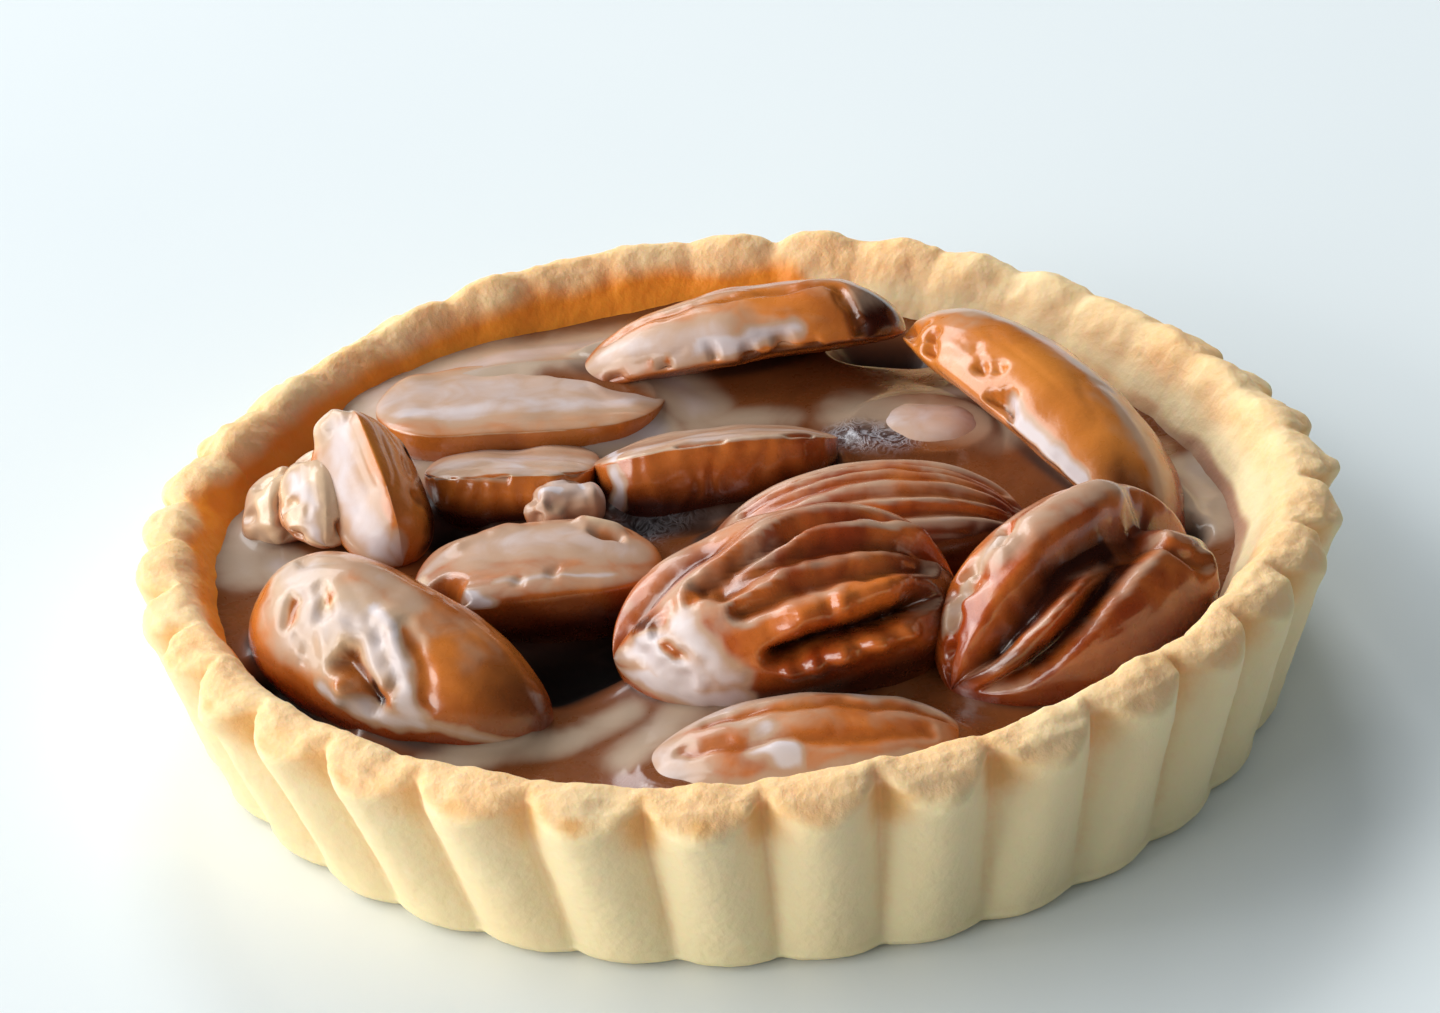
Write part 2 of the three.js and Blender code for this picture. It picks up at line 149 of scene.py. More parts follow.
KERNELS = {
    "back": dict(start=(-12.5, 26.5, 9.5), end=(17, 25, 14), width=12.5, dome=5.5, belly=1.2, roll=-30,
        arch=0.8, ends=(2, 3.5), film=0.45, tan=0.55,
        dents=[([(-0.7, 120), (-0.1, 122), (0.6, 112)], 1.2, 0.4), ([(0.66, 120), (0.76, 178)], 1, 0.7)],
        pits=[([(-0.7, 188), (0.75, 190)], 2.6, 1.2)],
        milk_and_sheen=[([(-0.85, 145), (-0.45, 160), (-0.05, 166)], 4.6, 0.95),
            ([(-0.15, 172), (0.38, 167)], 1.9, 1.3), ([(-0.6, 112), (0, 108)], 2.6, 0.55)],
        bare=[([(-0.35, 172)], 0.8, 1), ([(-0.5, 178)], 0.8, 0.8), ([(0.25, 130), (0.6, 150)], 3, 0.9)],
        dark=[([(0.86, 100), (0.88, 150), (0.86, 185)], 3, 1.3), ([(0, 212), (0.8, 205)], 2.6, 0.9)]),
    "right": dict(start=(18.3, 25.2, 13), end=(36.8, -6, 9), width=14, dome=6.5, belly=1.5, roll=-42,
        arch=1.5, ends=(3, 2.5), uneven=0.2, film=0.3, tan=0.8,
        pits=[([(-0.9, 172), (-0.4, 172), (0.05, 182)], 3, 1.3)],
        milk_and_sheen=[([(0.05, 178), (0.3, 178), (0.58, 180)], 1.9, 1.5),
            ([(0.05, 96), (0.4, 98), (0.8, 106)], 3, 0.8),
            ([(-0.9, 140), (-0.6, 110), (-0.35, 98)], 3.4, 0.85)],
        bare=[([(-0.35, 140), (0.2, 140), (0.6, 145)], 4, 0.8)],
        pale=[([(-0.95, 176), (-0.55, 174), (-0.1, 180)], 2, 0.3)],
        dark=[([(0.75, 150), (0.95, 130)], 5, 0.9), ([(0.1, 196), (0.8, 190)], 1.2, 0.8)]),
    "coated": dict(start=(-30, 21.5, 11.6), end=(-4.5, 21.5, 10.9), width=15, dome=5, belly=0.8, roll=172,
        arch=-0.3, ends=(4, 3), uneven=0.25, lit=0.8, merged=True, tan=0.6,
        milk_and_sheen=[([(-0.95, 262), (0.95, 262)], 16, 0.95), ([(-0.8, 290), (0.7, 290)], 5, 1.08)],
        bare=[([(-0.95, 6), (-0.2, 6), (0.5, 10)], 3.2, 1.1)],
        pale=[([(-0.9, 352), (0.3, 355)], 0.8, 0.6)]),
    "edge_left": dict(start=(-25.5, 10.5, 12), end=(-10.5, 9.5, 12), width=14.5, dome=6, belly=0.8,
        roll=158, arch=-0.5, ends=(3, 4), uneven=0.35, film=0.9, tan=0.5, lit=0.6,
        ripples=[([(-0.8, 15), (0.8, 15)], 3, 0.08, 1.9)], pits=[([(-0.8, 352), (0.8, 352)], 1.6, 0.7)],
        milk_and_sheen=[([(-0.8, 290), (0.8, 290)], 8, 0.95), ([(-0.75, 352), (-0.55, 356)], 0.9, 1.2),
            ([(-0.35, 356)], 0.7, 1.1)],
        pale=[([(-0.9, 350), (0.9, 350)], 0.9, 1)], dark=[([(-0.9, 40), (0.9, 40)], 4.2, 1.1)]),
    "edge_right": dict(start=(-11, 8, 13.2), end=(10, 9.5, 13.2), width=13, dome=7.5, belly=0.8, roll=152,
        arch=-1, ends=(4, 2.5), film=0.8, tan=0.2, lit=0.35,
        ripples=[([(-0.8, 20), (0.8, 20)], 5, 0.07, 2.1)], pits=[([(-0.3, 345), (0.8, 345)], 1.6, 0.9)],
        milk_and_sheen=[([(-0.8, 305), (0.7, 300)], 6, 0.9), ([(-0.86, 350), (-0.84, 4)], 1.2, 1.4)],
        pale=[([(-0.8, 345), (0.8, 342)], 0.9, 1.1)], dark=[([(-0.9, 48), (0.9, 48)], 6, 1.15)]),
    "wedge": dict(start=(-27.5, -2, 10.5), end=(-31.8, 10.8, 16.6), width=8.8, dome=5.5,
        ends=(3, 4.6), squareness=1.7, uneven=0.15, film=0.15, tan=0.7, lit=0.7,
        bumps=[([(0.84, 36), (0.9, 60)], 2, 1.2)], pits=[([(-0.6, 150), (0.8, 165)], 1.2, 0.5)],
        milk_and_sheen=[([(0.6, 55), (0, 45), (-0.8, 42)], 3.6, 1.2), ([(-0.9, 60), (-0.98, 110)], 2, 1),
            ([(0.8, 40), (0.95, 90)], 3, 0.4)],
        bare=[([(-0.6, 125), (0.7, 130)], 2.4, 1)], pale=[([(0.8, 30), (0.93, 70), (0.97, 110)], 2.6, 1)],
        dark=[([(-0.8, 165), (0.5, 172)], 1.8, 1)]),
    "bit_left": dict(start=(-38.2, 2.6, 10.5), end=(-37.2, 10.5, 12.6), width=6.9, dome=2.6,
        roll=-15, ends=(2.6, 2.6), squareness=1.3, uneven=0.4, tan=0.7, pits=[(ALL_OVER, 9, 0.9)],
        pale=[(ALL_OVER, 10, 1)], milk_and_sheen=[([(-1, 40), (1, 40)], 2, 0.6)]),
    "bit_right": dict(start=(-33.8, -0.5, 12), end=(-34.8, 10.5, 14), width=7.5, dome=3, roll=10,
        ends=(2.6, 2.6), squareness=1.4, uneven=0.4, tan=0.7, pits=[(ALL_OVER, 11, 0.9)],
        pale=[(ALL_OVER, 11, 1)], milk_and_sheen=[([(-0.9, 40), (-0.5, 70), (0.2, 45)], 2.2, 1.1)],
        dark=[([(0.7, 80)], 0.9, 0.5)]),
    "front_left": dict(start=(-38.5, -8.5, 12.5), end=(-16, -27, 9.5), width=14, dome=7, belly=3, roll=45,
        arch=1.5, ends=(3.5, 2), uneven=0.2, film=0.35, tan=0.5,
        dents=[([(-0.53, 84), (-0.5, 94)], 1.2, 0.5), ([(-0.34, 68)], 1, 0.35),
            ([(-0.04, 98), (0.2, 114)], 1.5, 1.6), ([(0.2, 66), (0.4, 84), (0.52, 100)], 1.2, 0.3)],
        bumps=[([(0.02, 116), (0.06, 112)], 1.6, 0.8), ([(0.05, 64), (0.3, 84)], 1.4, 0.3)],
        pits=[([(-0.75, 60), (-0.3, 90)], 5, 0.5), ([(-0.1, 72), (0.2, 92)], 3, 0.9)],
        milk_and_sheen=[([(-0.65, 58), (-0.4, 92), (-0.1, 76), (0.12, 82)], 6.4, 1),
            ([(0, 60), (0.2, 74), (0.36, 96), (0.46, 118)], 2.2, 1.2),
            ([(-0.1, 118), (0.1, 126), (0.5, 120)], 1.6, 1.3),
            ([(-0.75, 40), (-0.2, 35), (0.1, 45)], 3.4, 0.7), ([(0.48, 120), (0.9, 112)], 1.4, 0.9)],
        bare=[([(-0.53, 84), (-0.5, 94)], 1.2, 1), ([(-0.34, 68)], 1, 1),
            ([(-0.04, 96), (0.2, 114)], 1.3, 1), ([(0.42, 66), (0.6, 90)], 2.4, 0.9),
            ([(-0.85, 122), (-0.5, 138), (-0.1, 146)], 2.4, 1)],
        pale=[([(0.02, 114), (0.08, 112)], 1.3, 0.5), ([(-0.65, 62), (-0.3, 86), (0.1, 76)], 6, 1)],
        dark=[([(-0.08, 94), (0.05, 102)], 1.1, 0.8), ([(0.16, 106), (0.22, 120)], 1.1, 1.2),
            ([(0.85, 70), (0.93, 20)], 5, 0.7)]),
    "middle": dict(start=(-26.3, -8, 12.7), end=(-5.6, -8, 13.2), width=12.5, dome=6.5, belly=1.5,
        roll=176, arch=-1, ends=(3.6, 3), uneven=0.25, lit=0.45, tan=0.3,
        dents=[([(-0.72, 300), (-0.66, 345)], 2, 2.2), ([(0.5, 244), (0.62, 250)], 1.3, 0.9)],
        bumps=[([(0.42, 228), (0.62, 236)], 1.7, 0.6), ([(-0.6, 240), (-0.2, 225)], 2, 0.4)],
        pits=[([(-0.1, 310), (0.6, 300)], 2, 0.5)],
        milk_and_sheen=[([(-0.4, 255), (0.2, 252), (0.6, 268)], 6.5, 0.9), ([(-0.88, 262), (-0.7, 250)], 2.6, 0.9),
            ([(-0.5, 325), (-0.42, 350)], 2.2, 1.6), ([(-0.3, 315), (0.6, 312)], 1.2, 1)],
        pale=[([(0.44, 226), (0.62, 236)], 1.6, 0.8), ([(-0.98, 270), (-0.9, 300)], 1.2, 0.8)],
        dark=[([(-0.72, 304), (-0.66, 345)], 1.6, 1.2), ([(-0.6, 24), (0.9, 24)], 5, 1)]),
    "main": dict(start=(-10, -19.5, 12), end=(18.3, -16.5, 14), width=17, dome=7, belly=5, roll=22,
        arch=1.5, ends=(2.2, 3.5), uneven=0.2, warp=0.5, film=0.65, lit=0.7,
        dents=[([(-0.8, 60), (-0.4, 45)], 6, 2),
            ([(-0.45, 86), (-0.05, 71), (0.22, 60), (0.55, 54), (0.84, 54)], 1.6, 1.7),
            ([(-0.35, 92), (0, 84), (0.4, 81), (0.66, 81), (0.9, 78)], 1.5, 1.5),
            ([(-0.25, 108), (0.05, 100), (0.3, 97), (0.55, 97), (0.8, 92)], 1.5, 1.3),
            ([(-0.12, 141), (0.14, 134), (0.36, 132), (0.58, 126), (0.78, 118)], 1.7, 3.4),
            ([(-0.53, 93)], 0.9, 0.5), ([(-0.7, 117), (-0.66, 126)], 0.8, 0.4)],
        bumps=[([(0, 152), (0.3, 147), (0.6, 140)], 2, 1.1),
            ([(0, 120), (0.3, 115), (0.62, 109)], 2.2, 1.1), ([(0.76, 60), (0.82, 63)], 2, 0.8)],
        pits=[([(-0.1, 146), (0.3, 142), (0.7, 134)], 3.4, 0.8), ([(0, 122), (0.7, 112)], 2.2, 0.5),
            ([(-0.8, 100), (-0.6, 140)], 4.5, 0.6)],
        ripples=[([(-0.05, 146), (0.3, 143), (0.65, 136)], 3, 0.4, 2.9),
            ([(0.05, 124), (0.3, 120), (0.65, 113)], 2.6, 0.3, 3.6)],
        milk_and_sheen=[([(-0.84, 112), (-0.62, 148)], 5.2, 1.5),
            ([(-0.85, 150), (-0.6, 168), (-0.45, 172)], 3.6, 1.5), ([(-0.6, 104), (-0.42, 150)], 3, 1.25),
            ([(-0.62, 82), (-0.3, 82), (0, 74)], 3, 0.85)],
        bare=[([(-0.53, 93)], 0.9, 0.7), ([(-0.7, 117), (-0.66, 128)], 0.8, 0.6),
            ([(-0.82, 88), (-0.74, 94)], 1.6, 1), ([(0.05, 124), (0.6, 112)], 4, 0.8),
            ([(-0.1, 150), (0.6, 145)], 4, 1)],
        dark=[([(-0.08, 138), (0.36, 131), (0.74, 119)], 1.2, 1.2), ([(0.9, 95), (0.94, 160)], 4.5, 0.9),
            ([(-0.25, 175), (0.9, 172)], 5, 1), ([(-0.86, 84), (-0.78, 94)], 1.8, 0.9)]),
    "behind": dict(start=(-2.5, -3.5, 9.5), end=(25.5, -4.5, 11), width=13, dome=5.6, roll=8,
        arch=2, ends=(2.2, 3), uneven=0.1, warp=0.3, film=0.85,
        dents=[([(-0.7, 62), (0, 52), (0.85, 58)], 1, 0.5), ([(-0.7, 78), (0, 66), (0.9, 68)], 1, 0.55),
            ([(-0.7, 92), (0, 80), (0.9, 79)], 1, 0.55), ([(-0.7, 106), (0, 96), (0.9, 91)], 1, 0.6),
            ([(-0.7, 122), (0, 114), (0.9, 106)], 1.2, 0.9)],
        milk_and_sheen=[([(-0.9, 85), (0.5, 80)], 6, 0.35)],
        dark=[([(0.5, 150), (0.95, 125)], 5, 1), ([(-0.6, 106), (0, 96), (0.9, 91)], 0.8, 0.5)]),
    "grooved": dict(start=(17, -26, 11), end=(38, -11.8, 13.2), width=17.5, dome=8.3, belly=3, roll=20,
        arch=1.5, ends=(2.2, 3), uneven=0.2, warp=0.4, film=0.6,
        dents=[([(0.5, 86), (0.2, 88), (-0.15, 89), (-0.46, 93), (-0.85, 100)], 2.3, 2.9),
            ([(0.45, 97), (0.2, 100), (-0.1, 109), (-0.42, 122), (-0.8, 138)], 2, 2.6),
            ([(0.72, 80), (0.95, 92)], 3.6, 3), ([(0.5, 106), (0.66, 128)], 1.2, 1)],
        bumps=[([(0.72, 128), (0.66, 146)], 2, 0.8), ([(-0.3, 62), (0.4, 62)], 3.2, 0.8)],
        pits=[([(-0.35, 50), (-0.6, 42), (-0.9, 50)], 4, 1.3)],
        milk_and_sheen=[([(-0.4, 48), (-0.75, 44)], 3, 0.9), ([(-0.4, 62), (0.1, 58), (0.5, 62)], 3, 0.7),
            ([(0.52, 96), (0.3, 95)], 2.2, 0.95)],
        bare=[([(-0.5, 80), (-0.3, 86)], 2, 1), ([(-0.5, 150), (0.4, 140)], 5, 1)],
        pale=[([(-0.3, 48), (-0.8, 44)], 2.6, 0.75)],
        dark=[([(0.2, 88), (-0.15, 89), (-0.46, 93), (-0.85, 100)], 2, 1.2),
            ([(0.2, 100), (-0.1, 109), (-0.42, 122), (-0.7, 134)], 1.7, 1.2),
            ([(0.8, 95), (0.8, 150)], 3, 0.9), ([(0.66, 80), (0.9, 90)], 2.5, 0.8),
            ([(-0.6, 158), (0.5, 150)], 8, 0.6), ([(-0.9, 110), (-0.6, 130)], 3, 0.8)]),
    "sunk": dict(start=(-8.5, -33.5, 9.2), end=(18.5, -33.3, 9.5), width=12, dome=4.4, roll=10,
        arch=1.2, ends=(2.2, 2.2), uneven=0.4, lit=0.75, merged=True, tan=0.3,
        dents=[([(-0.6, 62), (0.2, 72), (0.8, 70)], 1.2, 0.4),
            ([(-0.7, 92), (0.2, 104), (0.7, 96)], 1.2, 0.4)],
        milk_and_sheen=[([(-0.24, 98), (-0.12, 118)], 2.4, 1.7), ([(-0.9, 60), (-0.8, 120)], 4.5, 1),
            ([(-0.5, 70), (-0.3, 80)], 1.6, 0.8), ([(0.1, 132), (0.6, 122)], 2.2, 0.8),
            ([(-0.8, 46), (0.1, 42), (0.8, 52)], 3, 0.9), ([(-0.7, 140), (0.8, 140)], 3, 0.8)]),
    "lump": dict(start=(11, 14.5, 8.1), end=(24, 12, 8.1), width=11, dome=3.6, ends=(2.2, 2.2),
        film=0.3, uneven=0.7, lit=1, merged=True, tan=0.5,
        milk_and_sheen=[(ALL_OVER, 26, 0.95), ([(-0.9, 60), (-0.2, 100)], 3.2, 1.1)]),
    "knob": dict(start=(-17, 0.5, 13.2), end=(-10.2, 2.6, 12.6), width=5.4, dome=2.4, belly=4.2,
        ends=(2.4, 2.4), squareness=0.9, uneven=0.9, film=0.6, tan=0.5, pits=[(ALL_OVER, 9, 0.7)],
        milk_and_sheen=[(ALL_OVER, 9, 0.9), ([(-0.6, 80), (-0.1, 100)], 1.2, 1.5),
            ([(0.4, 60), (0.5, 100)], 0.9, 1.4)]),
}
KERNELS = {name: PLAIN_KERNEL | given for name, given in KERNELS.items()}

# Marks on the caramel, as paths of (x, y) on the plan: path, radius, depth or strength.
# The hollows are also painted dark with shade.
HOLLOWS = [
    ([(-15.5, -17.5), (-9.5, -15)], 7, 3.4), ([(13.5, 29.5), (17, 29.5)], 4.2, 4),
    ([(20, -14.5), (20.5, -10)], 4, 2.4), ([(-37.8, -17.5), (-33.5, -25)], 3, 2.4),
    ([(-23.5, 3)], 4, 2.2), ([(-8, 1.5), (-2, 0.5)], 2.5, 0.6), ([(36, -9), (38, -5)], 3, 3),
]
MOUNDS = [([(-27, 25), (-18, 29), (-6, 28)], 11, 2)]
# Milky pools on the caramel: stirred film, partly painted window reflection.
POOLS = [
    ([(-29, 26), (-20, 30.5), (-4, 32)], 10, 0.95), ([(-24, 14), (-6, 16.5)], 5, 1.1),
    ([(-6, 27), (-2, 20)], 5, 0.9), ([(-2, 17.5), (6, 17)], 4, 0.55), ([(20.5, 19.5)], 3, 0.9),
    ([(12, 16), (24, 13)], 8, 0.62), ([(-42, 9), (-41, 0)], 6, 0.75),
    ([(-38, 0), (-33, -3.5)], 4, 1), ([(-25, -30), (-14.5, -28), (-9, -25)], 3, 0.7),
    ([(-9, -31), (-3, -24.5), (8, -28.5)], 4.5, 0.6), ([(40.5, 6), (40, -4)], 5, 0.8),
    ([(-38, -18), (-35, -23.5)], 1.2, 0.8), ([(25, 13), (30, 3)], 1.2, 0.9),
]
# Crinkled film, which also gets painted blue-grey glints.
CRINKLES = [([(10.5, 12.4), (15, 11)], 3.2, 1), ([(-7, 1.5), (-4, 4)], 4.2, 1.2)]

# Colours, as shares of linear light.
# The brown colour stands for browning and also for painted shade in the creases and flute arches.
PASTRY = dict(
    pale=(0.87, 0.72, 0.42, 1), golden=(0.93, 0.56, 0.26, 1), crumb=(0.92, 0.68, 0.42, 1),
    # The soaked orange is soaked caramel and also painted warm bounce light.
    brown_and_shade=(0.76, 0.43, 0.15, 1), soaked_glow=(0.92, 0.30, 0.025, 1), smeared=(0.42, 0.22, 0.14, 1))
# The last, near-black colour is painted shade.
CARAMEL = dict(
    # The milky colour is stirred film, partly painted window reflection.
    dark=(0.14, 0.036, 0.008, 1), light=(0.28, 0.09, 0.025, 1), milky_sheen=(0.51, 0.385, 0.275, 1),
    # The blue-grey colour is a painted glint on crinkled film.
    glint=(0.42, 0.43, 0.48, 1), gap=(0.05, 0.04, 0.05, 1), painted_shade=(0.008, 0.004, 0.003, 1))
PECAN = dict(
    dark=(0.34, 0.045, 0.005, 1), light=(0.68, 0.18, 0.028, 1), tan=(0.72, 0.25, 0.038, 1),
    # The low and furrow colours are painted shade.
    low=(0.20, 0.020, 0.003, 1), furrow_shade=(0.05, 0.009, 0.003, 1), flesh=(0.84, 0.60, 0.38, 1),
    # The milky colour is caramel film, partly painted reflection.
    milky_sheen=(0.55, 0.37, 0.25, 1))
# A painted white highlight, for where the film is thicker.
FILM_HIGHLIGHT = (0.68, 0.59, 0.59, 1)
FLOOR_COOL = (0.78, 0.84, 0.86, 1)
FLOOR_PALE = (0.82, 0.87, 0.88, 1)
SKY = {"Color": (0.82, 0.93, 1, 1), "Strength": 0.28}
WET_COAT = {"Coat Roughness": 0.14, "Coat IOR": 1.5}  # the wet layer over caramel and pecans

# Stage, in metres and degrees. Each light: azimuth, elevation, size, radiance, colour.
FLOOR_HALF = 1.5
LIGHT_DISTANCE = 1.8
LIGHTS = {
    "Left_window": (168, 34, (1.5, 1.2), 4.2, (1, 0.99, 0.97)),
    "Low_window": (205, 16, (1.2, 0.9), 5.6, (1, 0.98, 0.95)),
    "Back_window": (130, 32, (1.1, 0.7), 3.5, (0.93, 0.96, 1)),
    "Key": (93, 30, (0.5, 0.5), 19, (0.97, 0.98, 1)),
}

# The camera is in front and looks down 33 degrees. Angles are in degrees.
CAMERA_PLACE = (-0.00077, -0.351944, 0.242180)
CAMERA_HEADING = 0.076
CAMERA_TILT = 56.948  # up from straight down
CAMERA_ROLL = -4.362
CAMERA_LENS = 125  # millimetres, on a 36 mm sensor


# ---- helpers for shapes ----
def ramp(value, low, high):
    """0 below low, 1 above high and 3t^2 - 2t^3 between them."""
    t = np.clip((value - low) / (high - low), 0, 1)
    return t * t * (3 - 2 * t)


def bell(distance, width):
    """exp(-(distance / width)^2)."""
    return np.exp(-((distance / width) ** 2))


def softer_min(first, second, reach):
    """The smaller of two values, rounded off with a parabola where they differ by under reach."""
    share = np.clip(0.5 + 0.5 * (second - first) / reach, 0, 1)
    return second * (1 - share) + first * share - reach * share * (1 - share)


def hashed(cell, seed):
    """A value from -1 to 1 for each whole-number cell, from mixed products of its coordinates."""
    bits = np.bitwise_xor.reduce(cell * HASH_PRIMES, axis=-1)
    bits = (bits ^ (seed * HASH_SEED)) & 0xFFFFFFFF
    for _ in range(2):
        bits = ((bits ^ (bits >> 16)) * HASH_MIX) & 0xFFFFFFFF
    return ((bits ^ (bits >> 16)) & 0xFFFFFF) / 0x7FFFFF - 1


def noise(points, size, seed):
    """Value noise from -1 to 1: hashed corners of cells of this size, blended by 3t^2 - 2t^3."""
    scaled = points / size
    base = np.floor(scaled).astype(np.int64)
    part = scaled - base
    part = part * part * (3 - 2 * part)
    total = np.zeros(points.shape[:-1])
    for corner in np.ndindex(2, 2, 2):
        weight = np.prod(np.where(np.array(corner, bool), part, 1 - part), axis=-1)
        total += weight * hashed(base + np.array(corner), seed)
    return total


def layered(points, size, seed, layers):
    """Noise at size, size / 2, size / 4 and so on, each layer half as strong as the last."""
    return sum(noise(points, size / 2**i, seed + 17 * i) / 2**i for i in range(layers))


def placed(radius, angle, height):
    """Points at a radius and an angle on the plan and at a height: (r cos a, r sin a, h)."""
    x, y = radius * np.cos(angle), radius * np.sin(angle)
    return np.stack(np.broadcast_arrays(x, y, height), -1)


def outward(grid):
    """Unit normals of a grid of points (rows, round, 3): the cross product of its two slopes."""
    down = np.gradient(grid, axis=0)
    around = (np.roll(grid, -1, axis=1) - np.roll(grid, 1, axis=1)) / 2
    normal = np.cross(around, down)
    normal /= np.linalg.norm(normal, axis=-1, keepdims=True) + 1e-9
    middle = grid.reshape(-1, 3).mean(0)
    facing = np.sum(normal * (grid - middle))
    return normal if facing > 0 else -normal


def added(name, data):
    """A new object in the scene."""
    made = bpy.data.objects.new(name, data)
    bpy.context.scene.collection.objects.link(made)
    return made


def solid(name, grid, masks, material, replaced):
    """Closes a grid of points (rows, round, 3) in millimetres into one mesh object.

    Each row is a closed ring, and the first and last rows are poles. Faces are wound so that the
    volume is positive. Each mask is a value for every grid point.
    """
    rows, columns = grid.shape[:2]
    ring = np.arange((rows - 2) * columns).reshape(rows - 2, columns) + 1
    beside = np.roll(ring, -1, axis=1)
    last = (rows - 2) * columns + 1
    quads = np.stack([ring[:-1], beside[:-1], beside[1:], ring[1:]], -1).reshape(-1, 4)
    first_fan = np.stack([np.zeros(columns, int), beside[0], ring[0]], -1)
    last_fan = np.stack([np.full(columns, last), ring[-1], beside[-1]], -1)
    points = np.vstack([grid[0].mean(0), grid[1:-1].reshape(-1, 3), grid[-1].mean(0)]) + CENTRING
    a, b, c, d = (points[quads[:, i]] for i in range(4))
    volume = np.sum(np.cross(b - a, d - b) * (a + b + c + d))
    if volume < 0:
        quads, first_fan, last_fan = quads[:, ::-1], first_fan[:, ::-1], last_fan[:, ::-1]
    faces = quads.tolist() + first_fan.tolist() + last_fan.tolist()
    mesh = bpy.data.meshes.new(name)
    mesh.from_pydata((points * MM).tolist(), [], faces)
    mesh.polygons.foreach_set("use_smooth", np.ones(len(mesh.polygons), bool))
    for label, values in masks.items():
        flat = np.concatenate([[values[0].mean()], values[1:-1].ravel(), [values[-1].mean()]])
        attribute = mesh.attributes.new(label, "FLOAT", "POINT")
        attribute.data.foreach_set("value", np.clip(flat, 0, MASK_LIMIT).astype(np.float32))
    mesh.materials.append(material)
    made = added(name, mesh)
    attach(made, BODY)
    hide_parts(replaced)


# ---- helpers for materials ----
def plug(tree, target, inputs):
    """Links each input to a socket, or sets it to a value."""
    for key, value in inputs.items():
        if isinstance(value, bpy.types.NodeSocket):
            tree.links.new(value, target.inputs[key])
        else:
            target.inputs[key].default_value = value


def node(tree, kind, inputs, **settings):
    """A node with its settings and its inputs."""
    made = tree.nodes.new(kind)
    for key, value in settings.items():
        setattr(made, key, value)
    plug(tree, made, inputs)
    return made


def mixed(tree, share, first, second):
    """A colour between two colours."""
    return node(tree, "ShaderNodeMix", {0: share, 6: first, 7: second}, data_type="RGBA").outputs[2]


def between(tree, value, low, high, start=0.0, stop=1.0):
    """A value carried from one range to another, eased and held at its ends."""
    inputs = {"Value": value, "From Min": low, "From Max": high, "To Min": start, "To Max": stop}
    made = node(tree, "ShaderNodeMapRange", inputs, interpolation_type="SMOOTHSTEP")
    return made.outputs["Result"]


def sums(tree, operation, *values):
    """One arithmetic step on values or sockets."""
    return node(tree, "ShaderNodeMath", dict(enumerate(values)), operation=operation).outputs[0]


def mask(tree, name):
    """The value of a mesh attribute."""
    return node(tree, "ShaderNodeAttribute", {}, attribute_name=name).outputs["Fac"]


def object_place(tree):
    """The place on the piece, in metres."""
    return node(tree, "ShaderNodeTexCoord", {}).outputs["Object"]


def speckle(tree, size, detail=2.0, rough=0.5, warp=0.0):
    """Noise from 0 to 1 with features of about this size in millimetres."""
    inputs = {"Vector": object_place(tree), "Scale": 1 / (size * MM), "Detail": detail,
              "Roughness": rough, "Distortion": warp}
    return node(tree, "ShaderNodeTexNoise", inputs).outputs["Fac"]


def stained(tree, color, stain, name, patches, share, low, high):
    """A colour that turns into a stain as a mask with patches added goes from low to high."""
    amount = sums(tree, "MULTIPLY_ADD", patches, share, mask(tree, name))
    return mixed(tree, between(tree, amount, low, high), color, stain)


def bumped(tree, height, distance, strength):
    """A normal from a height of 0 to 1, which stands for this many millimetres."""
    inputs = {"Height": height, "Distance": distance * MM, "Strength": strength}
    return node(tree, "ShaderNodeBump", inputs).outputs["Normal"]


def new_group(name, inputs, outputs):
    """An empty shader node group: its tree, what it is given, and its output node."""
    tree = bpy.data.node_groups.new(name, "ShaderNodeTree")
    for side, sockets in (("INPUT", inputs), ("OUTPUT", outputs)):
        for label, kind in sockets.items():
            tree.interface.new_socket(label, in_out=side, socket_type="NodeSocket" + kind)
    return tree, tree.nodes.new("NodeGroupInput").outputs, tree.nodes.new("NodeGroupOutput")


def new_material(name):
    """A material with one Principled BSDF, and the tree that it stands in."""
    made = bpy.data.materials.new(name)
    made.use_nodes = True
    return made, made.node_tree, made.node_tree.nodes["Principled BSDF"]


# ---- finishes ----
def sticky_film():
    """Caramel film over whatever is under it, standing also for painted reflection: milky where the film
    is thick, a painted white highlight where thicker.

    Film is its share, broken up by soft patches, of which Patch scale gives the number to a metre.
    The film fills small hollows, so the relief is lower under it.
    """
    tree, given, out = new_group(
        "Sticky film",
        {"Under": "Color", "Milky": "Color", "Film": "Float", "Patch scale": "Float"},
        {"Color": "Color", "Roughness": "Float", "Height": "Float"})
    patches = node(tree, "ShaderNodeTexNoise", {
        "Vector": object_place(tree), "Scale": given["Patch scale"], "Detail": 4.0,
        "Distortion": 0.8}).outputs["Fac"]
    film = given["Film"]
    thick = sums(tree, "MULTIPLY_ADD", patches, 0.7, film)
    amount = sums(tree, "MULTIPLY", between(tree, thick, 0.42, 1.05), between(tree, film, 0.02, 0.3))
    color = mixed(tree, sums(tree, "MULTIPLY", amount, 0.85), given["Under"], given["Milky"])
    fine = speckle(tree, 0.9, 3.0)
    rough = sums(tree, "MULTIPLY_ADD", fine, 0.16, 0.2)
    # Past a film of 1 the colour turns to a painted white highlight.
    plug(tree, out, {
        "Color": mixed(tree, between(tree, thick, 1.0, 1.7), color, FILM_HIGHLIGHT),
        "Roughness": sums(tree, "MULTIPLY_ADD", amount, 0.18, rough),
        "Height": sums(tree, "MULTIPLY", fine, between(tree, amount, 0.0, 1.0, 1.0, 0.4))})
    return tree


def filmed(tree, film, under, milky_sheen, patch_scale):
    """A colour under the sticky film, which the milk mask spreads: real film and painted reflection."""
    inputs = {"Under": under, "Milky": milky_sheen, "Film": mask(tree, "milk_and_sheen"), "Patch scale": patch_scale}
    return node(tree, "ShaderNodeGroup", inputs, node_tree=film).outputs


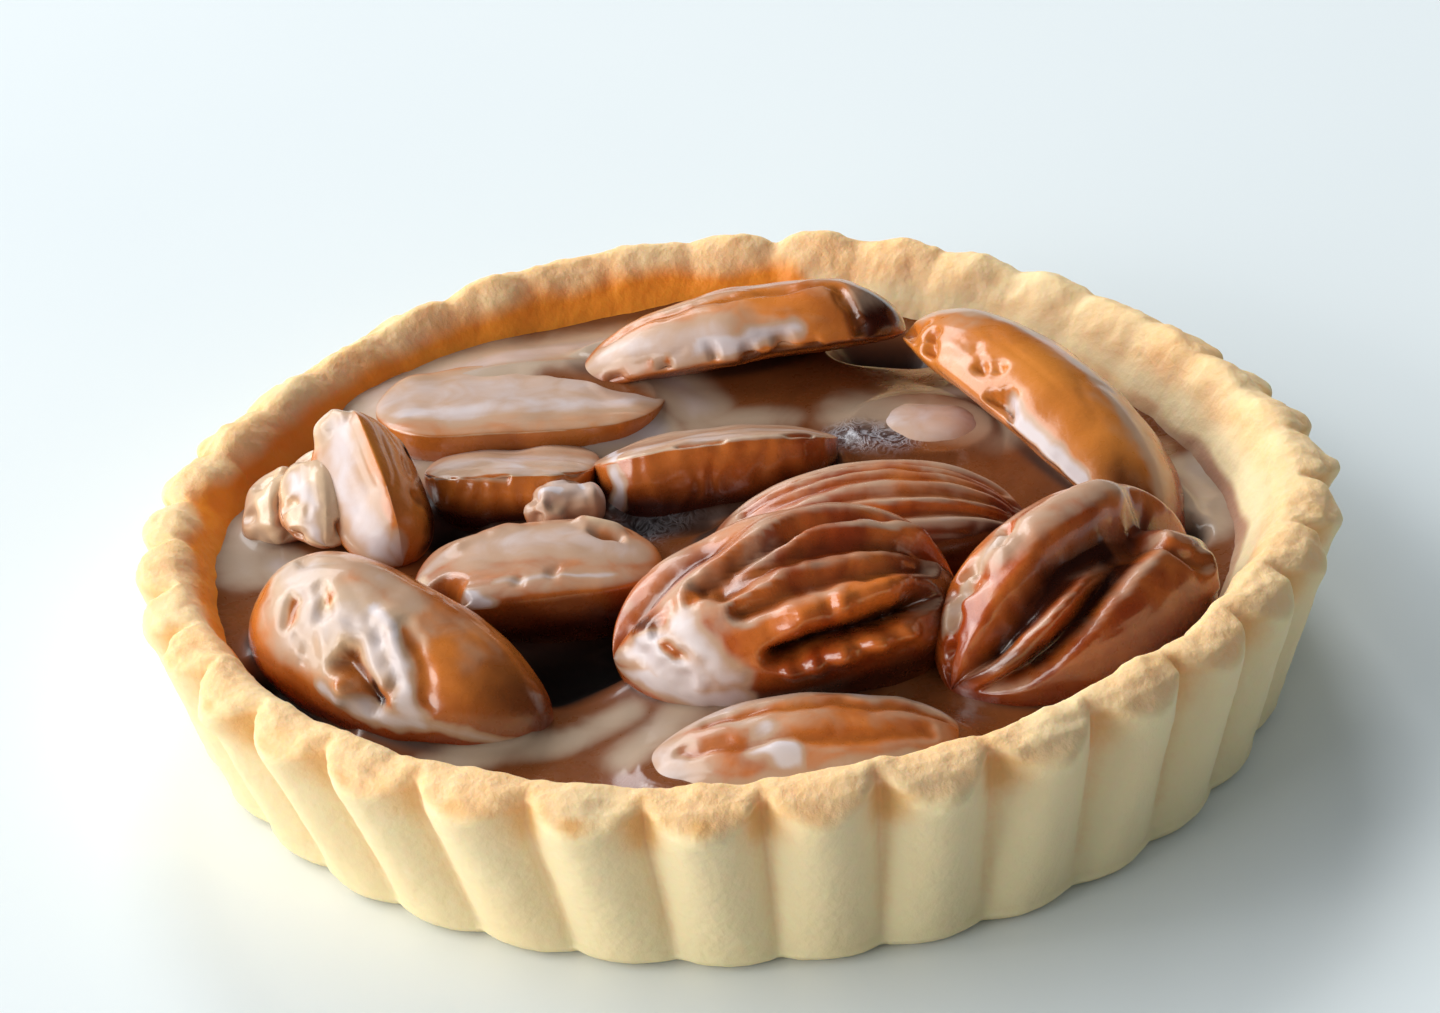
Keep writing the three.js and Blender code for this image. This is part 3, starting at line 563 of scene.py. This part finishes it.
def crust_finish():
    """Shortcrust: pale at the side, golden on the rim, browned in spots, with painted shade in the
    creases and flute arches, and soaked near the caramel with painted warm glow.
    """
    made, tree, shader = new_material("Shortcrust")
    blotch = speckle(tree, 5.0, 3.0)
    fine = speckle(tree, 0.8, 4.0, 0.65)
    color = stained(tree, PASTRY["pale"], PASTRY["golden"], "toast", blotch, 0.5, 0.2, 1.3)
    crumb = sums(tree, "MULTIPLY", between(tree, fine, 0.35, 0.7), 0.35)
    color = mixed(tree, crumb, color, PASTRY["crumb"])
    # Browning together with painted shade of the creases and flute arches.
    color = stained(tree, color, PASTRY["brown_and_shade"], "brown_and_shade", fine, 0.4, 0.25, 1.2)
    # Soaked caramel together with painted warm bounce light.
    color = stained(tree, color, PASTRY["soaked_glow"], "soak_and_glow", blotch, 0.4, 0.3, 1.15)
    color = stained(tree, color, PASTRY["smeared"], "smear", blotch, 0.5, 0.4, 1.2)
    grain_inputs = {"Vector": object_place(tree), "Scale": 1 / (PASTRY_GRAIN * MM)}
    grains = node(tree, "ShaderNodeTexVoronoi", grain_inputs).outputs["Distance"]
    relief = sums(tree, "MULTIPLY_ADD", grains, 0.35, fine)
    relief = sums(tree, "MULTIPLY", relief, between(tree, mask(tree, "toast"), 0.2, 0.9, 0.6, 1.2))
    plug(tree, shader, {
        "Base Color": color, "Roughness": between(tree, mask(tree, "soak_and_glow"), 0.2, 1.0, 0.82, 0.45),
        "Normal": bumped(tree, relief, 0.3, 0.5),
        "Specular IOR Level": 0.3,
        "Subsurface Weight": 0.25, "Subsurface Radius": (1.0, 0.4, 0.12), "Subsurface Scale": 5 * MM})
    return made


def caramel_finish(film):
    """Soft caramel: painted near-black shade in its hollows and along kernels, brown elsewhere, milky
    where it was stirred.

    Where it has set into a crinkled film it has sharp small folds with painted blue-grey glints.
    """
    made, tree, shader = new_material("Soft caramel")
    blotch = speckle(tree, 7.0, 2.0, warp=1.0)
    color = mixed(tree, blotch, CARAMEL["dark"], CARAMEL["light"])
    coat = filmed(tree, film, color, CARAMEL["milky_sheen"], 150.0)
    folds = speckle(tree, 1.3, 3.0, warp=1.4)
    ridges = sums(tree, "ABSOLUTE", sums(tree, "SUBTRACT", folds, 0.5))
    crinkle = mask(tree, "crinkle")
    # Painted blue-grey glints on the crinkle folds.
    glinting = mixed(tree, between(tree, ridges, 0.0, 0.12), CARAMEL["glint"], CARAMEL["gap"])
    color = mixed(tree, sums(tree, "MULTIPLY", crinkle, 0.8), coat["Color"], glinting)
    # Painted near-black shade in the hollows and round kernels.
    painted_shade = mask(tree, "painted_shade")
    pleats = sums(tree, "MULTIPLY", sums(tree, "MULTIPLY", ridges, crinkle), 5.0)
    relief = sums(tree, "ADD", pleats, sums(tree, "MULTIPLY", coat["Height"], 0.3))
    plug(tree, shader, {
        "Base Color": mixed(tree, between(tree, painted_shade, 0.05, 0.85), color, CARAMEL["painted_shade"]),
        "Roughness": sums(tree, "MULTIPLY_ADD", painted_shade, 0.5, coat["Roughness"]),
        "Normal": bumped(tree, relief, 0.3, 0.5),
        "Coat Weight": between(tree, painted_shade, 0.1, 0.8, 0.8, 0.1),
        **WET_COAT})
    return made


def pecan_finish(film):
    """Pecan skin under caramel: orange brown, with painted shade in the furrows and low down by the
    caramel, cream where it is broken.
    """
    made, tree, shader = new_material("Glazed pecan")
    blotch = speckle(tree, 5.0, 3.0, warp=0.5)
    color = mixed(tree, between(tree, blotch, 0.3, 0.72), PECAN["dark"], PECAN["light"])
    color = mixed(tree, mask(tree, "tan"), color, PECAN["tan"])
    # Painted shade low down by the caramel, and in furrows and dark marks.
    color = mixed(tree, sums(tree, "MULTIPLY", mask(tree, "low"), 0.9), color, PECAN["low"])
    color = mixed(tree, mask(tree, "furrow_shade"), color, PECAN["furrow_shade"])
    color = stained(tree, color, PECAN["flesh"], "pale", blotch, 0.4, 0.4, 1.0)
    coat = filmed(tree, film, color, PECAN["milky_sheen"], 300.0)
    plug(tree, shader, {
        "Base Color": coat["Color"], "Roughness": coat["Roughness"],
        "Normal": bumped(tree, coat["Height"], 0.15, 0.3),
        "Coat Weight": between(tree, mask(tree, "milk_and_sheen"), 0.3, 1.3, 0.8, 0.3),
        **WET_COAT})
    return made


# ---- crust ----
def degrees_from(angle, centre):
    """Degrees from a direction on the plan, from -180 to 180."""
    return (np.degrees(angle) - centre + 180) % 360 - 180


def towards(angle, direction):
    """1 in the middle of a direction, falling off as a bell of its width."""
    centre, width = direction
    return bell(degrees_from(angle, centre), width)


def behind(angle):
    """1 within 60 degrees of the back, falling to 0 at 96 degrees from it."""
    return 1 - ramp(np.abs(degrees_from(angle, BACK_MIDDLE)), 60, 96)


def soaked_side(angle):
    """1 round the back left of the inside, where caramel has soaked in and warm bounce light is painted,
    and 0 elsewhere.
    """
    turned = degrees_from(angle, 140)
    return ramp(turned, -66, -60) * (1 - ramp(turned, 60, 85))


def flute_phase(angle):
    """How many flutes on from the first crease: the whole part counts them."""
    return (angle - FIRST_CREASE) * FLUTES / math.tau


def crest_height(angle):
    """The crest of the rim, highest between the front and the right, with a lumpy edge.

    Round the back it also rises over each flute, with |sin|.
    """
    rim = placed(RIM_RADIUS, angle, 0)
    lumps = 0.3 * noise(rim, 5.0, 3) + 0.2 * noise(rim, 2.6, 5)
    scallop = np.abs(np.sin(math.pi * flute_phase(angle))) - 0.6
    lumps += SCALLOP_HEIGHT * scallop * ramp(np.sin(angle), -0.4, 0.3)
    bend = FRONT_LIFT * towards(angle, FRONT) - BACK_DROP * towards(angle, BACK_RIGHT)
    return RIM_HEIGHT + RIGHT_RISE * np.cos(angle) - FRONT_RISE * np.sin(angle) + bend + lumps


def swell(angle, share):
    """How far the shell is out of round, at a share of the height of its widest place."""
    foot = FOOT_SWELL * towards(angle, FRONT_RIGHT)
    return foot * (1 - share) + RIGHT_SWELL * towards(angle, RIGHT) * share


def leaning_wall(angle, height, crest):
    """Radius of the fluted wall: |sin|^0.85 lobes between sharp creases, on an outward lean.

    The creases get deeper with height, but fade a little under the rim round the back.
    """
    share = height / WIDEST_HEIGHT
    lobe = np.abs(np.sin(math.pi * flute_phase(angle))) ** 0.85
    depth = BASE_FLUTE_DEPTH + (FLUTE_DEPTH - BASE_FLUTE_DEPTH) * share
    depth = depth * (1 - BACK_FADE * behind(angle) * ramp(height, crest - 3, crest - 1))
    lean = (RIM_RADIUS - BASE_RADIUS) * share
    return BASE_RADIUS + swell(angle, share) + lean - depth * (1 - lobe)


def twist(angle, height):
    """How far round the flutes have turned at this height: they fan out towards both sides."""
    turn = RIGHT_TWIST * towards(angle, RIGHT_FAN) - LEFT_TWIST * towards(angle, LEFT_FAN)
    return np.radians(turn) * np.clip(height / WIDEST_HEIGHT, 0, 1)


def rim_edge(angle):
    """Radius of the outer edge of the rim."""
    return RIM_RADIUS - EDGE_INSET + swell(angle, 1) - BACK_WEAR * behind(angle)


def bevel(angle, height, crest):
    """Radius of the cone that cuts the flutes off under the rim's outer edge."""
    slope = BEVEL_SLOPE + BACK_BEVEL * behind(angle)
    return rim_edge(angle) + (crest - RIM_DROP - height) * slope


def inside_wall(angle, height, crest):
    """Radius of the inside, a straight run from below the caramel to the rim's inner edge."""
    foot = INNER_RADIUS - (CARAMEL_LEVEL - WALL_FOOT) * INNER_LEAN
    foot = foot - BACK_FILLET * towards(angle, BACK)
    top = rim_edge(angle) - RIM_WIDTH + BACK_THIN * behind(angle)
    return foot + (top - foot) * (height - WALL_FOOT) / (crest - RIM_DROP - WALL_FOOT)


def caramel_edge(angle):
    """Height of the caramel where it meets the crust."""
    return CARAMEL_LEVEL - BACK_SAG * behind(angle) + EDGE_CLIMB


def steps(count):
    """Even shares from just after 0 up to 1."""
    return np.linspace(0, 1, count + 1)[1:]


def crust_grid():
    """Profile rows from the middle of the underside, up the wall, over the rim and down inside.

    The foot is a quarter circle and the wall is fluted. The rim rises as a square root from its
    outer edge, and is blended into the inside wall by a parabola.
    """
    angle = np.linspace(0, math.tau, CRUST_COLUMNS, endpoint=False)
    crest = crest_height(angle)
    edge = crest - RIM_DROP
    level = 0 * angle
    foot = leaning_wall(angle, 0, crest) - FOOT_ROUND
    rows = [(foot * share, level) for share in (0, 0.3, 0.6, 0.85, 0.97)]
    for turn in np.linspace(0, math.pi / 2, FOOT_ROWS):
        height = FOOT_ROUND * (1 - math.cos(turn))
        rows.append((foot + FOOT_ROUND * math.sin(turn) + FOOT_LEAN * height, height + level))
    for share in steps(WALL_ROWS):
        height = FOOT_ROUND + (edge - FOOT_ROUND) * share
        wall = leaning_wall(angle, height, crest)
        rows.append((softer_min(wall, bevel(angle, height, crest), BEVEL_BLEND), height))
    outer = rows[-1][0]
    inner = inside_wall(angle, edge, crest)
    steep = (edge - WALL_FOOT) / (inner - inside_wall(angle, WALL_FOOT, crest))
    for share in steps(RIM_ROWS) ** 1.4:
        radius = outer + (inner - RIM_OVERRUN - outer) * share
        top = crest - RIM_DROP * (1 - np.sqrt(np.minimum(share / CREST_SHARE, 1)))
        rows.append((radius, softer_min(top, edge + (radius - inner) * steep, RIM_BLEND)))
    start = rows[-1][1]
    for share in steps(INSIDE_ROWS):
        height = start + (WALL_FOOT - start) * share
        rows.append((inside_wall(angle, height, crest), height))
    well = inside_wall(angle, WALL_FOOT, crest) - WELL_STEP
    rows += [(well * share, BASE_THICKNESS + level) for share in (1, 0.9, 0.6, 0.3, 0)]
    radius, height = (np.stack(values) for values in zip(*rows))
    return angle, crest, placed(radius, angle + twist(angle, height), height)


def make_crust(material):
    """The shell, with crumbs on the rim, a knob on some flutes, and the masks of its bake, of painted
    shade and of painted glow.
    """
    angle, crest, grid = crust_grid()
    radius = np.hypot(grid[..., 0], grid[..., 1])
    height = grid[..., 2]
    below = crest - height
    outside = radius > inside_wall(angle, height, crest) + 1.5
    cut = leaning_wall(angle, height, crest) - bevel(angle, height, crest)
    on_rim = np.maximum(ramp(cut, -0.6, 1.0), 1 - ramp(below, 0.9, 2.0))
    on_rim = np.where(outside, on_rim, 1 - ramp(below, 1.5, 4.0))
    flute = np.floor(flute_phase(angle)).astype(np.int64) % FLUTES
    luck = hashed(np.stack([flute, 0 * flute, 0 * flute], -1), 7)
    phase = flute_phase(angle) % 1

    crumbs = CRUMB_HEIGHT * layered(grid, 2.6, 11, 3) + CRUMB_HEIGHT / 2 * noise(grid, 1.3, 13)
    crumbs = crumbs * (0.2 + 0.8 * on_rim) + 0.05 * noise(grid, 0.8, 12)
    knob = np.maximum(luck, 0) * bell(phase - 0.5, 0.2) * bell(below - 2.4, 1.0) * KNOB_HEIGHT
    lifted = (height > 0.3) & (radius > 5)
    push = np.where(lifted, crumbs + np.where(outside, knob, 0), 0)
    grid = grid + outward(grid) * push[..., None]
    grid[..., 2] = np.maximum(grid[..., 2], 0)

    # Brown in an arch at the head of each flute, partly browning and partly painted shade, on the
    # browned facets at the front left, painted shade in the creases, and brown spots on the rim.
    away = (phase - 0.1 * np.clip(degrees_from(angle, FRONT[0]) / 30, -1, 1) + 0.5) % 1 - 0.5
    arch = bell(away, 0.2) * ramp(below, 0.7, 1.6) * (1 - ramp(below, 2.4, 6.0)) * (1 + 0.5 * luck)
    facet = ramp(cut, 0.0, 0.5) * bell(phase - 0.42 - 0.08 * luck, 0.15) * ramp(below, 0.5, 1.2)
    facet = facet * towards(angle, FRONT_LEFT)
    # Painted shade down each crease.
    shade = bell(np.minimum(phase, 1 - phase), 0.1) * ramp(height, 0, 5) * 0.4
    brown_and_shade = np.where(outside, arch * 0.5 + facet * (0.75 + 0.5 * luck) + shade, 0)
    brown_and_shade = brown_and_shade + 0.4 * ramp(noise(grid, 2.0, 21), 0.25, 0.8) * on_rim
    toast = on_rim * (0.6 + 0.3 * noise(grid, 6.0, 22)) + 0.45 * arch * outside
    toast = toast + 0.1 * (noise(grid, 5, 23) + 0.6)

    # Caramel soaks into the inside at the back left, and is smeared up it at the right. The soaked
    # orange also stands for painted warm bounce light on the shaded inside.
    side = soaked_side(angle)
    gap = height - caramel_edge(angle) + 0.5 * noise(grid, 4, 24)
    soak_and_glow = (1 - ramp(gap, 0.4, 1.6 + 2.6 * side)) * (0.35 + 1.0 * side)
    smear = (1 - ramp(gap, 0.2, 1.8)) * towards(angle, FAR_RIGHT)
    soak_and_glow, smear = (np.where(outside, 0, values) for values in (soak_and_glow, smear))
    masks = dict(toast=toast, brown_and_shade=brown_and_shade, soak_and_glow=soak_and_glow, smear=smear)
    solid("Crust", grid, masks, material, "crust")


# ---- caramel ----
def kernel_axes(spec):
    """Middle, half-length and the three unit directions (along, across, up) of a kernel."""
    start, end = np.array(spec["start"], float), np.array(spec["end"], float)
    along = end - start
    half = np.linalg.norm(along) / 2
    along /= 2 * half
    across = np.cross((0, 0, 1), along)
    across /= np.linalg.norm(across)
    up = np.cross(along, across)
    roll = math.radians(spec["roll"])
    cos, sin = math.cos(roll), math.sin(roll)
    return (start + end) / 2, half, along, cos * across + sin * up, cos * up - sin * across


def climb(points, kernels):
    """How much caramel climbs these kernels: it falls off as exp(-distance / CLIMB_REACH).

    Each kernel counts as an ellipsoid, and the distance to it is k (k - 1) / |p / r^2|, where k
    is |p / r|.
    """
    total = np.zeros(points.shape[:-1])
    for spec in kernels:
        middle, half, along, across, up = kernel_axes(spec)
        depth = (spec["dome"] + spec["belly"]) / 2
        middle = middle + up * (spec["dome"] - spec["belly"]) / 2
        local = (points - middle) @ np.stack([along, across, up], -1)
        radii = np.array([half, spec["width"] / 2, depth])
        k = np.linalg.norm(local / radii, axis=-1)
        distance = k * (k - 1) / (np.linalg.norm(local / radii**2, axis=-1) + 1e-9)
        total = np.maximum(total, np.exp(-np.maximum(distance, 0) / CLIMB_REACH))
    return total


def near_path(u, v, path, radius, turn=None):
    """1 on a path of places and 0 beyond radius from it. v may close on itself after a turn."""
    nearest = np.full(u.shape, np.inf)
    for (u0, v0), (u1, v1) in zip(path, path[1:] or path):
        du, dv = u1 - u0, v1 - v0
        share = np.clip(((u - u0) * du + (v - v0) * dv) / max(du * du + dv * dv, 1e-9), 0, 1)
        gap = v - v0 - share * dv
        if turn:
            gap = (gap + turn / 2) % turn - turn / 2
        nearest = np.minimum(nearest, np.hypot(u - u0 - share * du, gap))
    return 1 - ramp(nearest, 0, radius)


def painted(x, y, marks):
    """The strongest of some marks (path, radius, strength) at each place on the plan."""
    total = np.zeros(x.shape)
    for path, radius, strength in marks:
        total = np.maximum(total, strength * near_path(x, y, path, radius))
    return total


def make_caramel(material):
    """A disc with a soft wavy top, which climbs the crust and the kernels, closed underneath.

    Painted shade darkens its hollows and a line along the kernels that don't merge into it.
    """
    angle = np.linspace(0, math.tau, CARAMEL_SPOKES, endpoint=False)
    crest = crest_height(angle)
    share = np.linspace(0, 1, CARAMEL_RINGS)[:, None]
    nominal = inside_wall(angle, caramel_edge(angle), crest) + OVERLAP
    radius = share * nominal
    top = placed(radius, angle, CARAMEL_LEVEL)
    x, y = top[..., 0], top[..., 1]
    waves = CARAMEL_WAVE * (np.sin(x / 9 + 1) + np.cos(y / 8 - x / 20))
    swirl = CARAMEL_SWIRL * layered(top * (0.5, 1, 1), 5.0, 41, 2)
    rise = climb(top, KERNELS.values()) + EDGE_CLIMB * np.exp(-(nominal - radius) / 1.5)
    sag = BACK_SAG * behind(angle) * ramp(share, 0.62, 0.98)
    top[..., 2] += waves + swirl + rise - sag - painted(x, y, HOLLOWS) + painted(x, y, MOUNDS)
    reach = inside_wall(angle, top[-1, :, 2], crest) + OVERLAP
    top[..., :2] *= 1 + ((reach / nominal - 1) * share**6)[..., None]
    side = placed(inside_wall(angle, CARAMEL_SIDE, crest) - GAP, angle, CARAMEL_SIDE)
    well = inside_wall(angle, WALL_FOOT, crest) - GAP - WELL_STEP
    under = [placed(well * part, angle, BASE_THICKNESS + GAP) for part in (1, 0.5, 0)]
    grid = np.concatenate([top, np.stack([side, *under])])
    x, y = grid[..., 0], grid[..., 1]
    # Painted shade over the hollows and in a line round the kernels that stand clear.
    shades = [(path, radius * 1.15, min(1, depth)) for path, radius, depth in HOLLOWS]
    clear = [spec for spec in KERNELS.values() if not spec["merged"]]
    milk_and_sheen = painted(x, y, POOLS)
    contact_shade = 0.6 * ramp(climb(grid, clear), 0.3, 0.85) * (1 - 0.85 * np.clip(milk_and_sheen, 0, 1))
    painted_shade = np.maximum(painted(x, y, shades), contact_shade)
    masks = dict(milk_and_sheen=milk_and_sheen, crinkle=painted(x, y, CRINKLES), painted_shade=painted_shade)
    solid("Caramel", grid, masks, material, "caramel")


# ---- pecans ----
def kernel_grid(spec, stations, points_round):
    """A kernel as a closed surface of t along it and an angle round it.

    The swell along it is (1 - |t|^ends)^0.5. Across, the half-width goes with |cos|^squareness.
    The back goes with |sin|^squareness and the cut face with |sin|^0.6, so it is flatter. The
    arch lifts the middle by arch (0.5 - t^2).
    """
    middle, half, along, across, up = kernel_axes(spec)
    t = -np.cos(np.linspace(0, math.pi, stations))[:, None] + np.zeros(points_round)
    angle = np.linspace(0, 360, points_round, endpoint=False) + np.zeros((stations, 1))
    cos, sin = np.cos(np.radians(angle)), np.sin(np.radians(angle))
    first_end, last_end = spec["ends"]
    plump = np.sqrt(np.maximum(0, 1 - np.abs(t) ** np.where(t < 0, first_end, last_end)))
    side = spec["width"] / 2 * plump * np.sign(cos) * np.abs(cos) ** spec["squareness"]
    back = spec["dome"] * np.abs(sin) ** spec["squareness"]
    face = -spec["belly"] * np.abs(sin) ** 0.6
    local = np.stack([t * half, side, plump * np.where(sin > 0, back, face)], -1)
    local = local + outward(local) * kernel_relief(spec, (t, angle, half, local))[..., None]
    bow = spec["arch"] * (0.5 - t * t)
    axes = np.stack([along, across, up])
    return t, angle, middle + local @ axes + bow[..., None] * up


def ragged(local, seed):
    """A shift in millimetres, from two sizes of noise."""
    return 0.5 * noise(local, 2.6, seed) + 0.3 * noise(local, 1.1, seed + 1)


def marks_of(spec, label, place):
    """Each mark of one kind on a kernel: how near its path each place is, and its other values.

    Places are millimetres along and round the kernel, shifted by noise to make the edges uneven:
    dents, bumps and dark marks by the kernel's own share of it.
    """
    t, angle, half, local = place
    arm = spec["width"] / 2
    warp = spec["warp"] if label in ("dents", "bumps", "dark") else 1.3
    u = t * half + warp * ragged(local, 61)
    v = np.radians(angle) * arm + warp * ragged(local, 63)
    for path, radius, *values in spec[label]:
        places = [(along * half, math.radians(turn) * arm) for along, turn in path]
        yield near_path(u, v, places, radius, math.tau * arm), values


def kernel_relief(spec, place):
    """Height over the plain kernel: its marks, long fine wrinkles and uneven flesh."""
    t, _, half, local = place
    seed = int(spec["width"] * 7 + half * 13)
    taper = np.clip(1 - t**4, 0, 1)
    height = np.zeros(t.shape)
    for near, (depth,) in marks_of(spec, "dents", place):
        height -= depth * near
    for near, (lift,) in marks_of(spec, "bumps", place):
        height += lift * near
    for near, (depth,) in marks_of(spec, "pits", place):
        height -= depth * near * ramp(noise(local, 1.5, seed + 5), -0.1, 0.7)
    for near, (lift, spacing) in marks_of(spec, "ripples", place):
        wander = 1.1 * noise(local, 3.0, seed + 6)
        height += lift * near * np.sin(math.tau * (t * half + wander) / spacing)
    grain = noise(local * (0.28, 1, 1), 1.7, seed + 1)
    height -= WRINKLE_DEPTH * bell(grain, 0.2) * taper
    return height + spec["uneven"] * layered(local, 5.0, seed + 2, 2) * np.sqrt(taper)


def make_kernel(name, spec, material):
    """One kernel and its masks: furrow (painted shade in dents and dark marks), milk (film and painted
    reflection), pale, tan, and low (painted shade by the caramel).
    """
    stations, points_round = BIT_GRID if spec["width"] < BIT_WIDTH else KERNEL_GRID
    t, angle, grid = kernel_grid(spec, stations, points_round)
    middle, half = kernel_axes(spec)[:2]
    local = grid - middle
    place = (t, angle, half, local)
    # Painted sky reflection: milky film on the faces that look up.
    upward = ramp(outward(grid)[..., 2], 0.5, 0.98)
    milk_and_sheen = spec["film"] * upward * (0.85 + 0.3 * noise(local, 4.0, 65))
    masks = {"furrow_shade": np.zeros(t.shape), "milk_and_sheen": milk_and_sheen, "pale": np.zeros(t.shape)}
    for label, kind in (("furrow_shade", "dark"), ("milk_and_sheen", "milk_and_sheen"), ("pale", "pale")):
        for near, (strength,) in marks_of(spec, kind, place):
            masks[label] = np.maximum(masks[label], strength * near)
    # Painted shade in each dent.
    for near, (depth,) in marks_of(spec, "dents", place):
        shade = near**2 * min(0.75, 0.15 + 0.35 * depth)
        masks["furrow_shade"] = np.maximum(masks["furrow_shade"], shade)
        masks["milk_and_sheen"] *= 1 - 0.75 * near
        masks["pale"] *= 1 - 0.8 * near
    for near, (strength,) in marks_of(spec, "bare", place):
        masks["milk_and_sheen"] *= 1 - strength * near
    masks["tan"] = spec["tan"] * (0.85 + 0.3 * noise(local, 6.0, 66))
    # Painted shade low down by the caramel, less where the kernel is lit.
    low_shade = 1 - ramp(grid[..., 2], CARAMEL_LEVEL, CARAMEL_LEVEL + LOW_SHADE_HEIGHT)
    masks["low"] = low_shade * (1 - spec["lit"])
    solid("Pecan_" + name, grid, masks, material, "pecan_" + name)


# ---- stage, light and camera ----
def make_floor():
    """A plain pale glazed surface, with the faintest unevenness of colour."""
    h = FLOOR_HALF
    corners = [(-h, -h, 0), (h, -h, 0), (h, h, 0), (-h, h, 0)]
    mesh = bpy.data.meshes.new("Floor")
    mesh.from_pydata(corners, [], [(0, 1, 2, 3)])
    floor = added("Floor", mesh)
    made, tree, shader = new_material("Pale glaze")
    tint = mixed(tree, speckle(tree, 60.0), FLOOR_COOL, FLOOR_PALE)
    plug(tree, shader, {"Base Color": tint, "Roughness": 0.4, "IOR": 1.4})
    mesh.materials.append(made)


def make_light(name, azimuth, elevation, size, radiance, color):
    """A soft window: a rectangle of light that faces the tartlet."""
    lamp = bpy.data.lights.new(name, "AREA")
    lamp.shape = "RECTANGLE"
    lamp.size, lamp.size_y = size
    lamp.energy = radiance * math.pi * size[0] * size[1]
    lamp.color = color
    made = added(name, lamp)
    a, e = math.radians(azimuth), math.radians(elevation)
    away = Vector((math.cos(a) * math.cos(e), math.sin(a) * math.cos(e), math.sin(e)))
    made.location = away * LIGHT_DISTANCE
    made.rotation_mode = "QUATERNION"
    made.rotation_quaternion = away.to_track_quat("Z", "Y")
    made.visible_camera = False
    return made


def make_stage():
    """The floor, the pale surroundings and the lights. The key light shows in no reflection."""
    make_floor()
    world = bpy.data.worlds.new("Surroundings")
    world.use_nodes = True
    plug(world.node_tree, world.node_tree.nodes["Background"], SKY)
    bpy.context.scene.world = world
    world.cycles_visibility.glossy = False
    for name, values in LIGHTS.items():
        made = make_light(name, *values)
        made.visible_glossy = name != "Key"
    bpy.context.scene.view_settings.view_transform = "Standard"


def make_camera():
    """The camera: rolled about its own axis, tilted up from straight down, and turned."""
    data = bpy.data.cameras.new("Camera")
    data.sensor_width = 36
    data.lens = CAMERA_LENS
    data.clip_start, data.clip_end = 0.01, 20
    made = added("Camera", data)
    heading = Matrix.Rotation(math.radians(CAMERA_HEADING), 4, "Z")
    tilt = Matrix.Rotation(math.radians(CAMERA_TILT), 4, "X")
    roll = Matrix.Rotation(math.radians(CAMERA_ROLL), 4, "Z")
    made.matrix_world = Matrix.Translation(CAMERA_PLACE) @ heading @ tilt @ roll
    bpy.context.scene.camera = made


make_camera()
make_stage()
film_group = sticky_film()
make_crust(crust_finish())
make_caramel(caramel_finish(film_group))
pecan_material = pecan_finish(film_group)
for kernel_name, kernel_spec in KERNELS.items():
    make_kernel(kernel_name, kernel_spec, pecan_material)

bpy.context.view_layer.update()
